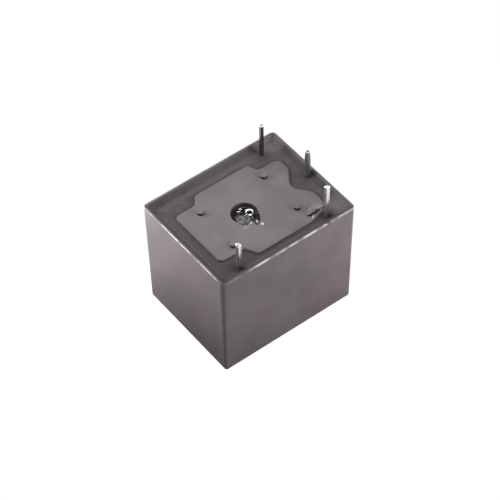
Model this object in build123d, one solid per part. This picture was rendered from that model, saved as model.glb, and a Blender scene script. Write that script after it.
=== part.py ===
from build123d import *
import os
from math import acos, asin, atan, atan2, cos, degrees, hypot, radians, sin, tan

os.makedirs("parts", exist_ok=True)

# A sealed miniature power relay for circuit boards, in millimetres.
# It stands on the closed end of its cover, at z = 0, with its terminals up.
# X runs along its long side, with the coil pins towards +X, and Y across it.

# Cover
case_length = 19.2
case_width = 15.4
case_height = 16.0
draft_inset = 0.27
case_corner = 0.6
end_round = 0.35
end_wall = 0.8
mouth_wall = 0.45
ledge_width = 0.2
inner_corner = 0.3
rim_bevel = 0.1
rim_inner_bevel = 0.12
flare_angle = 45.0

# Base, measured down from the rim of the cover
base_drop = 0.8
base_thickness = 1.6
base_clearance = 0.05
channel_depth = 0.6
island_from_strip_end = 2.3
island_from_coil_end = 1.9
island_from_side = 1.9
island_corner = 0.6
lobe_corner = 0.9
near_lobe_corner = 2.2
island_bevel = 0.1
strip_notch_reach = 2.15
strip_notch_side = 1.9
spare_notch_reach = 1.7
spare_notch_side = 1.5
strip_notch_slope = 0.9
coil_notch_reach = 1.8
coil_notch_side = 1.65
coil_notch_slope = 0.6
shallow_notch_side = 1.1
hollow_reach = 2.7
hollow_round = 1.3
lobe_width = 2.1
boss_x = 4.6
boss_y = 3.1
boss_radius = 0.43
boss_height = 0.4
boss_bevel = 0.06
well_radius = 1.65
slot_clearance = 0.03
rail_width = 0.8
rail_depth = 0.7
rail_length = 7.0
rib_depth = 2.2
rib_thickness = 0.7

# Resin
resin_drop = 0.1
meniscus_width = 0.5
meniscus_rise = 0.55
collar_width = 0.35
collar_rise = 0.2
well_resin_drop = 0.5
well_resin_rise = 0.35

# Pins and terminals, placed from the outside of the case
pins_from_side = 1.65
coil_pins_from_end = 3.05
coil_pin_side = 0.5
coil_pin_out = 4.15
coil_pin_tail = 0.9
com_pin_from_end = 1.0
com_pin_out = 3.45
contact_pins_from_end = 3.5
no_pin_out = 3.15
pin_bevel = 0.12
strip_thickness = 0.4
strip_pin_width = 0.6
strip_bend = 0.15
strip_post_width = 1.8
strip_shoulder = 0.15
strip_tab_width = 2.6
strip_tab_reach = 0.95
strip_arm_z = 6.4
strip_arm_height = 2.2
stop_tab_past = 1.0
stop_seat_depth = 0.7
com_tab_width = 4.0
com_tab_height = 2.0
com_tab_above_leaf = 0.45
com_tab_below_jog = 0.35
com_jog_height = 1.2
com_jog_below = 0.4
com_bend = 0.5
com_tip_width = 0.42
com_tip_length = 1.2

# Magnet frame and coil
core_from_flange = 4.9
core_radius = 1.5
core_neck_radius = 1.1
stake_radius = 1.35
stake_height = 0.45
stake_bevel = 0.2
pole_radius = 2.9
pole_thickness = 0.8
pole_bevel = 0.1
yoke_thickness = 1.2
yoke_width = 9.0
yoke_bend = 0.3
yoke_toe = 3.2
yoke_from_end = 1.9
flange_thickness = 1.0
flange_half_width = 5.4
flange_corner = 0.4
outer_flange_thickness = 0.8
outer_flange_corner = 1.5
flange_to_strips = 0.34
barrel_wall = 0.65
winding_radius = 4.5
winding_end_gap = 0.05
tape_thickness = 0.1
lug_size = 1.3
lug_gap = 0.25
lug_drop = 0.4
lug_rise = 0.95
wire_radius = 0.07
wrap_turns = 4
wrap_gap = 0.04
wrap_groove = 0.05

# Armature, leaf spring and contacts, drawn with the contacts closed
armature_thickness = 1.2
armature_width = 8.2
armature_to_strips = 1.5
armature_corner = 1.0
heel_round = 0.8
hinge_gap = 0.04
pole_gap = 0.05
leaf_thickness = 0.2
leaf_width = 6.4
leaf_arm_width = 3.0
leaf_taper = 2.4
leaf_window_width = 2.6
leaf_window_reach = 2.4
leaf_window_height = 3.2
leaf_gap = 0.03
leaf_corner = 0.6
contact_past_pins = 1.25
contact_radius = 0.9
contact_height = 0.75
contact_dome = 0.12
contact_neck_radius = 0.5
contact_tail_radius = 0.75
contact_tail_height = 0.3
contact_margin = 0.1
contact_gap = 0.5
closed_gap = 0.04
stop_gap = 0.05
stop_to_end = 0.65
rivet_neck_radius = 0.45
rivet_head_radius = 0.75
rivet_head_height = 0.25
rivet_bevel = 0.1
armature_rivet_from_hinge = 3.9
leaf_rivet_spacing = 3.8
leaf_rivet_from_end = 1.2
com_rivet_spacing = 2.2
fit_clearance = 0.02

# Heights worked out from the sizes above
draft_angle = degrees(atan(draft_inset / case_height))
side_wall = mouth_wall + ledge_width
island_z = case_height - base_drop
channel_z = island_z - channel_depth
resin_z = island_z - resin_drop
ledge_z = island_z - base_thickness
foot_z = ledge_z - yoke_thickness
flange_z = foot_z - flange_thickness
lug_z = flange_z - lug_drop
stop_z = end_wall + stop_to_end + strip_thickness
leaf_z = stop_z + stop_gap + contact_gap + contact_tail_height
armature_z = leaf_z + leaf_thickness
hinge_z = armature_z + armature_thickness
yoke_end_z = hinge_z + hinge_gap
pole_z = hinge_z + pole_gap
outer_flange_z = pole_z + pole_thickness
winding_z = outer_flange_z + outer_flange_thickness
no_tab_z = armature_z + contact_height + closed_gap + contact_height
jog_top_z = ledge_z - com_jog_below
jog_low_z = jog_top_z - com_jog_height
com_tab_top_z = jog_low_z - com_tab_below_jog
com_tab_z = com_tab_top_z - com_tab_height
leaf_tail_z = com_tab_z - com_tab_above_leaf

# Places worked out from the sizes above
island_strip_x = island_from_strip_end - case_length / 2
island_coil_x = case_length / 2 - island_from_coil_end
island_side_y = case_width / 2 - island_from_side
pin_y = case_width / 2 - pins_from_side
coil_pin_x = case_length / 2 - coil_pins_from_end
com_pin_x = case_length / 2 - com_pin_from_end
contact_pin_x = contact_pins_from_end - case_length / 2
contact_x = contact_pin_x - contact_past_pins
yoke_back_x = case_length / 2 - yoke_from_end
hinge_x = yoke_back_x
open_angle = degrees(asin(contact_gap / (hinge_x - contact_x)))
armature_rivet_x = hinge_x - armature_rivet_from_hinge
strip_face_x = contact_pin_x + strip_thickness / 2
strip_back_x = contact_pin_x - strip_thickness / 2
strip_tab_x = contact_x - strip_tab_reach
armature_end_x = strip_face_x + armature_to_strips
pin_outer_y = pin_y + strip_pin_width / 2
pin_inner_y = pin_y - strip_pin_width / 2
post_outer_y = pin_outer_y + strip_shoulder
post_inner_y = post_outer_y - strip_post_width
flange_left_x = strip_face_x + flange_to_strips
core_x = flange_left_x + core_from_flange
flange_right_x = yoke_back_x - yoke_thickness - yoke_bend
lug_inner_y = yoke_width / 2 + lug_gap
barrel_bore = core_radius + fit_clearance
barrel_radius = barrel_bore + barrel_wall
tape_bore = winding_radius + fit_clearance
tape_radius = tape_bore + tape_thickness
beyond = 2 * case_length


def case_outline(z, inset, corner):
    """The section of the drafted case at a height, moved in by inset on every side."""
    lean = draft_inset * (1 - z / case_height) + inset
    return Pos(0, 0, z) * RectangleRounded(case_length - 2 * lean, case_width - 2 * lean, corner)


def case_form(low, high, inset, corner):
    """The drafted form of the case between two heights, moved in by inset on every side."""
    return extrude(case_outline(high, inset, corner), amount=low - high, taper=draft_angle)


def post(radius, low, high, x=0.0, y=0.0):
    """A round post between two heights."""
    return Pos(x, y, (low + high) / 2) * Cylinder(radius, high - low)


def bar(low_corner, high_corner):
    """A square bar between its lowest and its highest corner."""
    size = [high - low for low, high in zip(low_corner, high_corner)]
    middle = [(high + low) / 2 for low, high in zip(low_corner, high_corner)]
    return Pos(*middle) * Box(*size)


def pin_bar(x, y, size_x, size_y, low, high):
    """A square bar round a vertical centre line."""
    return bar((x - size_x / 2, y - size_y / 2, low), (x + size_x / 2, y + size_y / 2, high))


def plan_prism(corners, low, high):
    """An outline in X and Y, extruded between two heights."""
    return extrude(Pos(0, 0, low) * make_face(Polyline(*corners, close=True)), amount=high - low)


def end_prism(corners):
    """An outline in Y and Z, extruded all the way along X."""
    return extrude(Plane.YZ * make_face(Polyline(*corners, close=True)), amount=beyond, both=True)


def bent_strip(corners, radius, thickness, width):
    """A strip folded along a line in X and Z, with its thickness on the right of that line."""
    line = FilletPolyline(*corners, radius=radius)
    section = make_face(offset(line, amount=thickness, side=Side.RIGHT, closed=True).edges())
    return extrude(Plane.XZ * section, amount=width / 2, both=True)


def opened(shape):
    """Turns a moving piece from the closed pose, in which it is drawn, to the open pose at rest."""
    return shape.rotate(Axis((hinge_x, 0, hinge_z), (0, 1, 0)), -open_angle)


def opened_point(x, z):
    """The same turn for one point in X and Z."""
    turn = radians(open_angle)
    along, up = x - hinge_x, z - hinge_z
    return hinge_x + along * cos(turn) - up * sin(turn), hinge_z + along * sin(turn) + up * cos(turn)


def rivet(grip):
    """A rivet along Z, its head below z = 0 and its neck up through the grip."""
    head = post(rivet_head_radius, -rivet_head_height, 0)
    head = chamfer(head.edges().group_by(Axis.Z)[0], rivet_bevel)
    return head + post(rivet_neck_radius, 0, grip)


def rivet_hole(grip):
    """The hole that a rivet's neck passes through."""
    return post(rivet_neck_radius + fit_clearance, -grip, grip)


def contact_rivet(grip):
    """A contact rivet along Z: domed head above z = 0, neck through the grip and tail below it."""
    edge_z = contact_height - contact_dome
    outline = Polyline(
        (0, contact_height),
        (0, -grip - contact_tail_height),
        (contact_tail_radius, -grip - contact_tail_height),
        (contact_tail_radius, -grip),
        (contact_neck_radius, -grip),
        (contact_neck_radius, 0),
        (contact_radius, 0),
        (contact_radius, edge_z),
    )
    dome = TangentArc((0, contact_height), (contact_radius, edge_z), tangent=(1, 0))
    return revolve(Plane.XZ * make_face(outline + dome), Axis.Z)


# Cover, base and resin


def make_cover():
    """The case: drafted walls, a closed end, and a ledge inside the mouth that the base sits on."""
    shell = case_form(0, case_height, 0, case_corner)
    shell = fillet(shell.edges().group_by(Axis.Z)[0], end_round)
    shell = chamfer(shell.edges().group_by(Axis.Z)[-1], rim_bevel)
    shell -= case_form(end_wall, case_height, side_wall, inner_corner)
    mouth = case_outline(case_height - rim_inner_bevel, mouth_wall, inner_corner)
    flare = extrude(mouth, amount=rim_inner_bevel, taper=-flare_angle)
    return shell - case_form(ledge_z, case_height, mouth_wall, inner_corner) - flare


def island_face():
    """The island's outline, cut back at each corner for a pin and hollowed beside the common pin."""
    strip_x = contact_pin_x + strip_notch_reach
    strip_y = pin_y - strip_notch_side
    spare_x = contact_pin_x + spare_notch_reach
    spare_y = pin_y - spare_notch_side
    coil_x = coil_pin_x - coil_notch_reach
    coil_y = pin_y - coil_notch_side
    shallow_y = pin_y - shallow_notch_side
    hollow_x = com_pin_x - hollow_reach
    shoulder_y = coil_y - lobe_width
    corners = [
        (island_strip_x, -strip_y),
        (strip_x, -strip_y),
        (strip_x + strip_notch_slope, -island_side_y),
        (coil_x, -island_side_y),
        (island_coil_x, -shallow_y),
        (island_coil_x, -shoulder_y),
        (hollow_x, 0),
        (island_coil_x, shoulder_y),
        (island_coil_x, coil_y),
        (coil_x, coil_y),
        (coil_x - coil_notch_slope, island_side_y),
        (spare_x + strip_notch_slope, island_side_y),
        (spare_x, spare_y),
        (island_strip_x, spare_y),
    ]
    lobes = [near_lobe_corner, lobe_corner, hollow_round, lobe_corner, lobe_corner]
    radii = [island_corner] * 4 + lobes + [island_corner] * 5
    return make_face(FilletPolyline(*corners, radius=radii, close=True))


def pins_above(z, clearance):
    """The sections of the four pins, from a height upwards, with a clearance all round."""
    square = coil_pin_side + 2 * clearance
    thick = strip_thickness + 2 * clearance
    wide = strip_pin_width + 2 * clearance
    pins = pin_bar(coil_pin_x, pin_y, square, square, z, beyond)
    pins += pin_bar(coil_pin_x, -pin_y, square, square, z, beyond)
    pins += pin_bar(com_pin_x, 0, thick, wide, z, beyond)
    return pins + pin_bar(contact_pin_x, -pin_y, thick, wide, z, beyond)


def make_base():
    """The terminal plate: island, bosses and well on top, rails and ribs for the works below."""
    plate = case_form(ledge_z, channel_z, mouth_wall + base_clearance, inner_corner)
    island = extrude(Pos(0, 0, channel_z) * island_face(), amount=channel_depth)
    plate += chamfer(island.edges().group_by(Axis.Z)[-1], island_bevel)
    boss = post(boss_radius, 0, boss_height)
    boss = chamfer(boss.edges().group_by(Axis.Z)[-1], boss_bevel)
    for x in (-boss_x, boss_x):
        for y in (-boss_y, boss_y):
            plate += Pos(x, y, island_z) * boss
    rail_x = core_x - yoke_toe
    rail_y = yoke_width / 2 + fit_clearance
    rail = bar((rail_x, rail_y, ledge_z - rail_depth), (rail_x + rail_length, rail_y + rail_width, ledge_z))
    rib_x = strip_back_x - rib_thickness
    rib = bar((rib_x, post_inner_y, ledge_z - rib_depth), (strip_back_x, post_outer_y, ledge_z))
    plate += rail + mirror(rail, Plane.XZ) + rib + mirror(rib, Plane.XZ)
    plate -= post(well_radius, ledge_z, island_z, core_x)
    plate -= pins_above(ledge_z, slot_clearance)
    seat_thick = strip_thickness + 2 * slot_clearance
    seat_wide = strip_pin_width + 2 * slot_clearance
    seat_top = ledge_z + stop_seat_depth + slot_clearance
    return plate - pin_bar(contact_pin_x, pin_y, seat_thick, seat_wide, ledge_z, seat_top)


def make_epoxy_seal():
    """The resin round the island, which climbs a little up the walls and the pins."""
    resin = case_form(channel_z, resin_z, mouth_wall, inner_corner)
    opening = case_outline(resin_z, mouth_wall + meniscus_width, inner_corner)
    slope = degrees(atan(meniscus_width / meniscus_rise))
    climb = case_form(resin_z, resin_z + meniscus_rise, mouth_wall, inner_corner)
    resin += climb - extrude(opening, amount=meniscus_rise, taper=-slope)
    coil_half = coil_pin_side / 2
    strip_half = strip_pin_width / 2
    pins = [(coil_pin_x, pin_y, coil_half), (coil_pin_x, -pin_y, coil_half)]
    pins += [(com_pin_x, 0, strip_half), (contact_pin_x, -pin_y, strip_half)]
    for x, y, half in pins:
        collar = Cone(half + collar_width, half, collar_rise)
        resin += Pos(x, y, resin_z + collar_rise / 2) * collar
    resin &= case_form(channel_z, case_height, mouth_wall, inner_corner)
    resin -= extrude(Pos(0, 0, channel_z) * island_face(), amount=channel_depth)
    return resin - pins_above(ledge_z, 0)


def make_core_seal():
    """The resin in the well, dished by its meniscus, over the staked end of the core."""
    radius = well_radius - fit_clearance
    middle_z = island_z - well_resin_drop
    edge_z = middle_z + well_resin_rise
    sides = Polyline((0, middle_z), (0, ledge_z), (radius, ledge_z), (radius, edge_z))
    dish = TangentArc((0, middle_z), (radius, edge_z), tangent=(1, 0))
    return Pos(core_x, 0, 0) * revolve(Plane.XZ * make_face(sides + dish), Axis.Z) - make_core()


# Magnet frame and coil


def make_core():
    """The soft-iron core: pole head, shaft, neck through the yoke and the end staked over it."""
    pole = post(pole_radius, pole_z, outer_flange_z)
    pole = chamfer(pole.edges().group_by(Axis.Z)[0], pole_bevel)
    stake = post(stake_radius, ledge_z, ledge_z + stake_height)
    stake = chamfer(stake.edges().group_by(Axis.Z)[-1], stake_bevel)
    core = pole + post(core_radius, outer_flange_z, foot_z) + post(core_neck_radius, foot_z, ledge_z)
    return Pos(core_x, 0, 0) * (core + stake)


def at_yoke_back(shape, x, spacing, z):
    """Two copies of a shape drawn along Z, laid along X on the yoke's back, facing outwards."""
    return [Pos(x, y, z) * Rot(0, -90, 0) * shape for y in (-spacing / 2, spacing / 2)]


def leaf_rivets_z():
    """The height of the two rivets in the leaf's tail."""
    return leaf_tail_z - leaf_rivet_from_end


def com_rivets_z():
    """The height of the two rivets in the common terminal."""
    return (com_tab_z + com_tab_top_z) / 2


def make_yoke():
    """The L-shaped frame: a foot under the base and a leg down to the hinge edge."""
    corners = [(core_x - yoke_toe, ledge_z), (yoke_back_x, ledge_z), (yoke_back_x, yoke_end_z)]
    yoke = bent_strip(corners, yoke_bend + yoke_thickness, yoke_thickness, yoke_width)
    yoke -= post(core_neck_radius + fit_clearance, foot_z, ledge_z, core_x)
    hole = rivet_hole(2 * yoke_thickness)
    yoke -= at_yoke_back(hole, yoke_back_x, leaf_rivet_spacing, leaf_rivets_z())
    return yoke - at_yoke_back(hole, yoke_back_x, com_rivet_spacing, com_rivets_z())


def make_bobbin():
    """The coil former: a barrel between two flanges, with a lug at each coil pin."""
    lug_left_x = coil_pin_x - lug_size / 2
    lug_right_x = coil_pin_x + lug_size / 2
    lug_outer_y = pin_y + lug_size / 2
    half = [
        (flange_left_x, -flange_half_width),
        (lug_left_x, -flange_half_width),
        (lug_left_x, -lug_outer_y),
        (lug_right_x, -lug_outer_y),
        (lug_right_x, -lug_inner_y),
        (flange_right_x, -lug_inner_y),
    ]
    flange = plan_prism(half + [(x, -y) for x, y in reversed(half)], flange_z, foot_z)
    left_edges = flange.edges().filter_by(Axis.Z).group_by(Axis.X)[0]
    bobbin = fillet(left_edges, flange_corner)
    middle_x = (flange_left_x + flange_right_x) / 2
    outline = RectangleRounded(flange_right_x - flange_left_x, 2 * flange_half_width, outer_flange_corner)
    bobbin += extrude(Pos(middle_x, 0, outer_flange_z) * outline, amount=outer_flange_thickness)
    bobbin += post(barrel_radius, winding_z, flange_z, core_x)
    for y in (pin_y, -pin_y):
        bobbin += pin_bar(coil_pin_x, y, lug_size, lug_size, lug_z, foot_z + lug_rise)
    bobbin -= post(barrel_bore, outer_flange_z, foot_z, core_x)
    return bobbin - pins_from_lug()


def pins_from_lug():
    """The holes for the coil pins, up from the lugs."""
    side = coil_pin_side + 2 * fit_clearance
    holes = pin_bar(coil_pin_x, pin_y, side, side, lug_z, ledge_z)
    return holes + pin_bar(coil_pin_x, -pin_y, side, side, lug_z, ledge_z)


def make_winding():
    """The winding between the flanges."""
    low = winding_z + winding_end_gap
    high = flange_z - winding_end_gap
    winding = post(winding_radius, low, high) - post(barrel_radius + fit_clearance, low, high)
    return Pos(core_x, 0, 0) * winding


def make_tape():
    """The tape over the winding."""
    low = winding_z + winding_end_gap
    high = flange_z - winding_end_gap
    return Pos(core_x, 0, 0) * (post(tape_radius, low, high) - post(tape_bore, low, high))


def make_lead(side):
    """One end of the winding: turns wrapped on a coil pin's tail and a straight run to the coil."""
    bore = coil_pin_side / 2 * 2**0.5 + fit_clearance
    groove = bore + wire_radius
    crest = groove + wire_radius
    pitch = 2 * wire_radius
    top = lug_z - wrap_gap
    bottom = top - wrap_turns * pitch
    outline = [(bore, bottom), (bore, top)]
    for turn in range(wrap_turns):
        start = top - turn * pitch
        outline += [(groove, start), (crest, start - wrap_groove), (crest, start - pitch + wrap_groove)]
    outline.append((groove, bottom))
    wrap = revolve(Plane.XZ * make_face(Polyline(*outline, close=True)), Axis.Z)
    reach = hypot(coil_pin_x - core_x, pin_y)
    touch_radius = tape_radius + wire_radius + fit_clearance
    touch_angle = atan2(pin_y, coil_pin_x - core_x) + acos(touch_radius / reach)
    end = Vector(core_x + touch_radius * cos(touch_angle), side * touch_radius * sin(touch_angle), 0)
    start = Vector(coil_pin_x, side * pin_y, 0)
    way = (end - start).normalized()
    run_plane = Plane(origin=start + way * groove + Vector(0, 0, (top + bottom) / 2), z_dir=way)
    run = extrude(run_plane * Circle(wire_radius), amount=(end - start).length - groove)
    return Pos(coil_pin_x, side * pin_y, 0) * wrap + run


# Pins and terminals


def bevel_tip(pin):
    """Bevels the four edges round the tip of a pin."""
    return chamfer(pin.edges().group_by(Axis.Z)[-1], pin_bevel)


def make_coil_pin(side):
    """A square coil pin, held in the bobbin's lug, with a tail below it for the wire."""
    low = lug_z - coil_pin_tail
    high = case_height + coil_pin_out
    return bevel_tip(pin_bar(coil_pin_x, side * pin_y, coil_pin_side, coil_pin_side, low, high))


def make_terminal_no():
    """The normally-open terminal: pin, post, cross arm and the folded tab of the fixed contact."""
    tip_z = case_height + no_pin_out
    tab_y = strip_tab_width / 2
    arm_top_z = strip_arm_z + strip_arm_height
    fold = [(strip_face_x, tip_z), (strip_face_x, no_tab_z), (strip_tab_x, no_tab_z)]
    strip = bent_strip(fold, strip_bend + strip_thickness, strip_thickness, case_width)
    outline = [
        (-tab_y, 0),
        (tab_y, 0),
        (tab_y, arm_top_z),
        (-post_inner_y, arm_top_z),
        (-post_inner_y, ledge_z),
        (-pin_inner_y, ledge_z),
        (-pin_inner_y, tip_z),
        (-pin_outer_y, tip_z),
        (-pin_outer_y, ledge_z),
        (-post_outer_y, ledge_z),
        (-post_outer_y, strip_arm_z),
        (-tab_y, strip_arm_z),
    ]
    strip = bevel_tip(strip & end_prism(outline))
    return strip - post(contact_neck_radius + fit_clearance, 0, no_tab_z + strip_thickness, contact_x)


def make_back_stop():
    """The stop that the leaf rests on: a post seated in the base and a tab folded under the leaf."""
    low_z = stop_z - strip_thickness
    top_z = ledge_z + stop_seat_depth
    fold = [(strip_face_x, top_z), (strip_face_x, low_z), (strip_tab_x, low_z)]
    strip = bent_strip(fold, strip_bend + strip_thickness, strip_thickness, case_width)
    outline = [
        (-stop_tab_past, 0),
        (post_outer_y, 0),
        (post_outer_y, ledge_z),
        (pin_outer_y, ledge_z),
        (pin_outer_y, top_z),
        (pin_inner_y, top_z),
        (pin_inner_y, ledge_z),
        (post_inner_y, ledge_z),
        (post_inner_y, stop_z),
        (-stop_tab_past, stop_z),
    ]
    cut_low = (strip_back_x - strip_bend, -stop_tab_past, 0)
    return (strip & end_prism(outline)) - bar(cut_low, (strip_face_x, post_inner_y, stop_z))


def make_terminal_com():
    """The common terminal: a tab riveted to the yoke's back, jogged out to the pin."""
    tip_z = case_height + com_pin_out
    pin_x = com_pin_x - strip_thickness / 2
    fold = [(yoke_back_x, com_tab_z), (yoke_back_x, jog_low_z), (pin_x, jog_top_z), (pin_x, tip_z)]
    strip = bent_strip(fold, com_bend, strip_thickness, case_width)
    tab_y = com_tab_width / 2
    edge_y = strip_pin_width / 2
    tip_y = com_tip_width / 2
    neck_z = (jog_low_z + jog_top_z) / 2
    half = [(tab_y, 0), (tab_y, com_tab_top_z), (edge_y, neck_z)]
    half += [(edge_y, tip_z - com_tip_length), (tip_y, tip_z)]
    strip = bevel_tip(strip & end_prism(half + [(-y, z) for y, z in reversed(half)]))
    return strip - at_yoke_back(rivet_hole(yoke_thickness), yoke_back_x, com_rivet_spacing, com_rivets_z())


def make_com_rivets():
    """The two rivets that hold the common terminal to the yoke."""
    shape = rivet(strip_thickness + yoke_thickness)
    return at_yoke_back(shape, yoke_back_x + strip_thickness, com_rivet_spacing, com_rivets_z())


def make_leaf_rivets():
    """The two rivets that hold the leaf's tail to the yoke."""
    stack = leaf_gap + leaf_thickness + fit_clearance
    shape = rivet(stack + yoke_thickness)
    return at_yoke_back(shape, yoke_back_x + stack, leaf_rivet_spacing, leaf_rivets_z())


# Moving pieces


def armature_rivet_places():
    """Where the leaf is riveted to the armature."""
    return [Pos(armature_rivet_x, y, leaf_z) for y in (-leaf_rivet_spacing / 2, leaf_rivet_spacing / 2)]


def make_armature():
    """The armature: a flat plate with a rounded heel on the hinge edge."""
    half_y = armature_width / 2
    plate = bar((armature_end_x, -half_y, armature_z), (hinge_x, half_y, hinge_z))
    heel = plate.edges().filter_by(Axis.Y).sort_by(lambda edge: edge.center().X - edge.center().Z)[-1]
    plate = fillet(heel, heel_round)
    plate = chamfer(plate.edges().filter_by(Axis.Z).group_by(Axis.X)[0], armature_corner)
    hole = rivet_hole(leaf_thickness + armature_thickness)
    return opened(plate - [place * hole for place in armature_rivet_places()])


def make_armature_rivets():
    """The two rivets that hold the leaf to the armature."""
    shape = rivet(leaf_thickness + armature_thickness)
    return [opened(place * shape) for place in armature_rivet_places()]


def make_leaf():
    """The leaf spring: a tapered arm, a bend with a window in it, and a tail up the yoke's back."""
    start_x, start_z = opened_point(contact_x - contact_radius - contact_margin, armature_z)
    tail_x = yoke_back_x + leaf_gap
    corner_z = start_z + (tail_x - start_x) * tan(radians(open_angle))
    fold = [(start_x, start_z), (tail_x, corner_z), (tail_x, leaf_tail_z)]
    leaf = bent_strip(fold, heel_round, leaf_thickness, leaf_width)
    end_y = contact_radius + contact_margin
    half = [
        (contact_x, -end_y),
        (armature_end_x, -leaf_arm_width / 2),
        (armature_end_x + leaf_taper, -leaf_width / 2),
        (beyond, -leaf_width / 2),
    ]
    plan = plan_prism(half + [(x, -y) for x, y in reversed(half)], 0, case_height)
    leaf &= plan + post(end_y, 0, case_height, contact_x)
    window_y = leaf_window_width / 2
    window_top = armature_z + leaf_window_height
    leaf -= bar((hinge_x - leaf_window_reach, -window_y, 0), (beyond, window_y, window_top))
    leaf -= opened(post(contact_neck_radius + fit_clearance, 0, hinge_z, contact_x))
    hole = rivet_hole(leaf_thickness + armature_thickness)
    leaf -= [opened(place * hole) for place in armature_rivet_places()]
    leaf -= at_yoke_back(rivet_hole(yoke_thickness), tail_x, leaf_rivet_spacing, leaf_rivets_z())
    return chamfer(leaf.edges().filter_by(Axis.X).group_by(Axis.Z)[-1], leaf_corner)


def make_moving_contact():
    """The moving contact on the free end of the leaf."""
    return opened(Pos(contact_x, 0, armature_z) * contact_rivet(leaf_thickness))


def make_fixed_contact():
    """The fixed contact under the tab of the normally-open terminal."""
    return Pos(contact_x, 0, no_tab_z) * Rot(180, 0, 0) * contact_rivet(strip_thickness)


nodes = {
    "cover": make_cover(),
    "base": make_base(),
    "epoxy_seal": make_epoxy_seal(),
    "core_seal": make_core_seal(),
    "core": make_core(),
    "yoke": make_yoke(),
    "bobbin": make_bobbin(),
    "coil_winding": make_winding(),
    "coil_tape": make_tape(),
    "lead_a": make_lead(1),
    "lead_b": make_lead(-1),
    "coil_pin_a": make_coil_pin(1),
    "coil_pin_b": make_coil_pin(-1),
    "terminal_com": make_terminal_com(),
    "terminal_no": make_terminal_no(),
    "back_stop": make_back_stop(),
    "fixed_contact": make_fixed_contact(),
    "terminal_rivets": Compound(children=make_com_rivets()),
    "spring_rivets": Compound(children=make_leaf_rivets()),
    "armature": make_armature(),
    "contact_spring": make_leaf(),
    "moving_contact": make_moving_contact(),
    "armature_rivets": Compound(children=make_armature_rivets()),
}

for name, shape in nodes.items():
    export_step(shape, f"parts/{name}.step")

print("hinge axis at x", round(hinge_x, 4), "z", round(hinge_z, 4), "open angle", round(open_angle, 4))
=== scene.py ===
from math import atan2, cos, exp, hypot, pi, radians, sin

import bmesh
import bpy
from mathutils import Matrix, Vector, noise
from mathutils.bvhtree import BVHTree


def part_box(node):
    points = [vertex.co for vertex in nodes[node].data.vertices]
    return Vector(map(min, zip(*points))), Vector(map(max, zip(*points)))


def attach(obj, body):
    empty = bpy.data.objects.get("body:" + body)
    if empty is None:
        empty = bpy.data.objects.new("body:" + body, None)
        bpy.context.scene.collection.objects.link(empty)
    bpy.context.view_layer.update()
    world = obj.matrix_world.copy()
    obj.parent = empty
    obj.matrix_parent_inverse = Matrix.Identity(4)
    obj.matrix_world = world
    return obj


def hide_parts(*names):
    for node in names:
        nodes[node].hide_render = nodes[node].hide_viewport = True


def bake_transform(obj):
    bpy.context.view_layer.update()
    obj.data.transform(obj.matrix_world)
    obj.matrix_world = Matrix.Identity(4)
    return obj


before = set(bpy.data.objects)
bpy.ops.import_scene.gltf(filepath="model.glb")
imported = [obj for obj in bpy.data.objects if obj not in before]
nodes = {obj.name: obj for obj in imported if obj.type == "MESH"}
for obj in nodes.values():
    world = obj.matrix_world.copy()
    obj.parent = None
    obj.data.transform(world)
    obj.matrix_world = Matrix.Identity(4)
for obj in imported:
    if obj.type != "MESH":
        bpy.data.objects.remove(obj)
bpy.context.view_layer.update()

# The look of a sealed power relay that stands on the closed end of its cover, terminals up.
# Everything is in metres. X runs along the long side, with the coil pins towards +X.

mm = 0.001
body_of_case = "housing"


# Places read from the frame

cover_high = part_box("cover")[1]
seal_low, seal_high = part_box("epoxy_seal")
well_low, well_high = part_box("core_seal")
case_height = cover_high.z
core_x = (well_low.x + well_high.x) / 2


def tree_of(node):
    """A search tree over a CAD node's mesh."""
    mesh = nodes[node].data
    corners = [vertex.co for vertex in mesh.vertices]
    return BVHTree.FromPolygons(corners, [tuple(face.vertices) for face in mesh.polygons])


def height_under(tree, x, y):
    """The height of the first surface met from above, or None beside it."""
    hit = tree.ray_cast(Vector((x, y, 2 * case_height)), Vector((0, 0, -1)))[0]
    return None if hit is None else hit.z


island_z = height_under(tree_of("base"), 3 * mm, 0)


# Marks given in millimetres: the mound from the core, the others from the middle of the case

mound_x, mound_y = -0.62, -0.62
pale_patches = ((8.3, 6.6), (8.4, -5.9))
stain_x, stain_y = 5.6, -7.5


# Materials


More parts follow.
